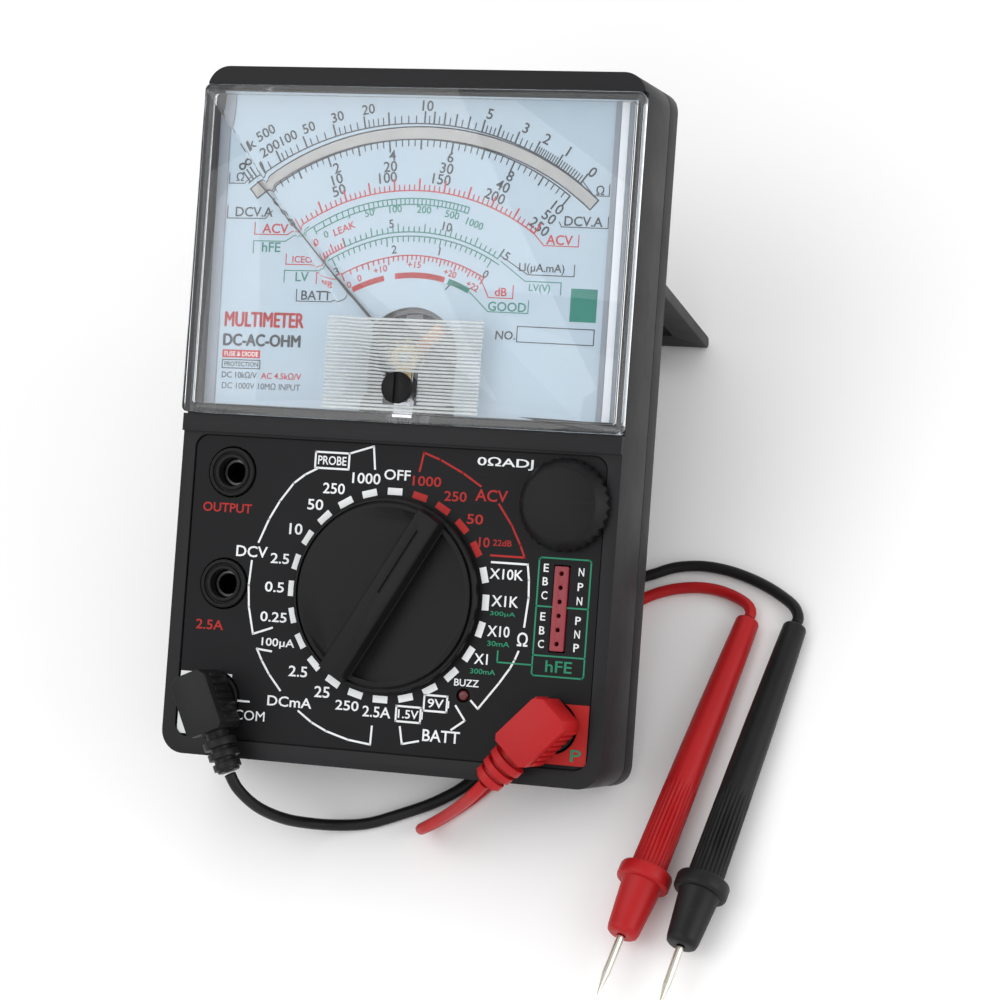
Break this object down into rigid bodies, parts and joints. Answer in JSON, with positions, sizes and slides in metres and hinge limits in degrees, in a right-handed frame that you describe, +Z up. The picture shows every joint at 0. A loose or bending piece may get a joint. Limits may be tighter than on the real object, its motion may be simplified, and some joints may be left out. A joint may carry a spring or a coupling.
{
  "type": "analog multimeter",
  "caption": "Analog multimeter with a swinging pointer, range selector, ohm adjuster, hinged tilt stand and two test leads with banana plugs and probes.",
  "frame": {"origin": "centre of the tilted instrument's bounding box in X and Y, at table level under its feet, without the test leads", "axes": "+X to the instrument's right, +Y away from the reader towards the raised top edge, +Z up from the table"},
  "size_m": [0.1297, 0.1806, 0.0949],
  "materials": {
    "case": "fine satin grain, near black",
    "knob": "satin black",
    "panel": "printed black label in white, red and green",
    "window": "clear polished plastic",
    "dial": "pale blue-white printed scale plate",
    "mirror": "anti-parallax mirror",
    "steel": "plain steel",
    "brass": "bright brass",
    "copper": "enamelled copper wire",
    "pointer": "matt black",
    "red_plastic": "red moulded plastic",
    "white_plastic": "white moulded plastic",
    "board": "green circuit board",
    "cell_wrap": "plain wrapped battery",
    "foot_rubber": "matt rubber",
    "lead_red": "red soft plastic",
    "lead_black": "black soft plastic"
  },
  "bodies": {
    "instrument": {"front_case": "case", "rear_cover": "case", "window_cover": "window", "panel_plate": "panel", "dial_plate": "dial", "mirror_strip": "mirror", "detent_spring": "steel", "ohm_adjust_pot": "steel", "hfe_socket": "red_plastic", "continuity_led": "red_plastic", "main_board": "board", "buzzer": "case", "fuse": "steel", "pen_cell_upper": "cell_wrap", "pen_cell_lower": "cell_wrap", "block_battery": "cell_wrap", "battery_snap": "case", "stand_hinge_pin": "steel", "jack_bushing_output": "case", "jack_contact_output": "steel", "jack_bushing_high_current": "case", "jack_contact_high_current": "steel", "jack_bushing_common": "case", "jack_contact_common": "steel", "jack_bushing_positive": "case", "jack_contact_positive": "steel", "case_screw_1": "steel", "case_screw_2": "steel", "foot_left": "foot_rubber", "foot_right": "foot_rubber", "magnet_yoke": "steel", "movement_core": "steel", "hairspring": "brass", "movement_bridge": "brass", "black_lead_front": "lead_black", "black_lead_coil": "lead_black", "black_lead_back": "lead_black", "black_probe_handle": "lead_black", "black_probe_needle": "steel", "red_lead_front": "lead_red", "red_lead_coil": "lead_red", "red_lead_back": "lead_red", "red_probe_handle": "lead_red", "red_probe_needle": "steel"},
    "selector": {"selector_knob": "knob", "switch_rotor": "white_plastic", "wiper_contact": "brass"},
    "ohm_adjuster": {"ohm_adjust_knob": "knob"},
    "zero_screw": {"zero_adjust_screw": "knob"},
    "corrector": {"zero_corrector": "brass"},
    "needle": {"moving_coil": "copper", "pivot_staff": "steel", "pointer": "pointer"},
    "stand": {"stand": "case"},
    "red_plug": {"red_plug_boot": "lead_red", "red_banana_pin": "brass"},
    "black_plug": {"black_plug_boot": "lead_black", "black_banana_pin": "brass"}
  },
  "joints": [
    {"name": "selector_turn", "type": "hinge", "parent": "instrument", "child": "selector", "pos_m": [0, -0.03834, 0.04133], "axis": [0, -0.4695, 0.8829], "continuous": true},
    {"name": "ohm_adjust", "type": "hinge", "parent": "instrument", "child": "ohm_adjuster", "pos_m": [0.0381, -0.01953, 0.05133], "axis": [0, -0.4695, 0.8829], "range_deg": [-135, 135]},
    {"name": "zero_adjust", "type": "hinge", "parent": "instrument", "child": "zero_screw", "pos_m": [0, 0.00025, 0.06184], "axis": [0, -0.4695, 0.8829], "range_deg": [-26, 26]},
    {"name": "corrector_swing", "type": "hinge", "parent": "instrument", "child": "corrector", "pos_m": [0, 0.00625, 0.06503], "axis": [0, -0.4695, 0.8829], "range_deg": [-3, 3]},
    {"name": "needle_swing", "type": "hinge", "parent": "instrument", "child": "needle", "pos_m": [0, 0.00625, 0.06503], "axis": [0, -0.4695, 0.8829], "range_deg": [-90, 0]},
    {"name": "stand_hinge", "type": "hinge", "parent": "instrument", "child": "stand", "pos_m": [0, 0.04019, 0.0534], "axis": [1, 0, 0], "range_deg": [-77.99, 0]},
    {"name": "red_plug_pull", "type": "slide", "parent": "instrument", "child": "red_plug", "axis": [0, -0.4695, 0.8829], "range_m": [0, 0.016]},
    {"name": "black_plug_pull", "type": "slide", "parent": "instrument", "child": "black_plug", "axis": [0, -0.4695, 0.8829], "range_m": [0, 0.016]}
  ],
  "couplings": [
    {"joint": "corrector_swing", "follows": "zero_adjust", "ratio": -0.115}
  ]
}
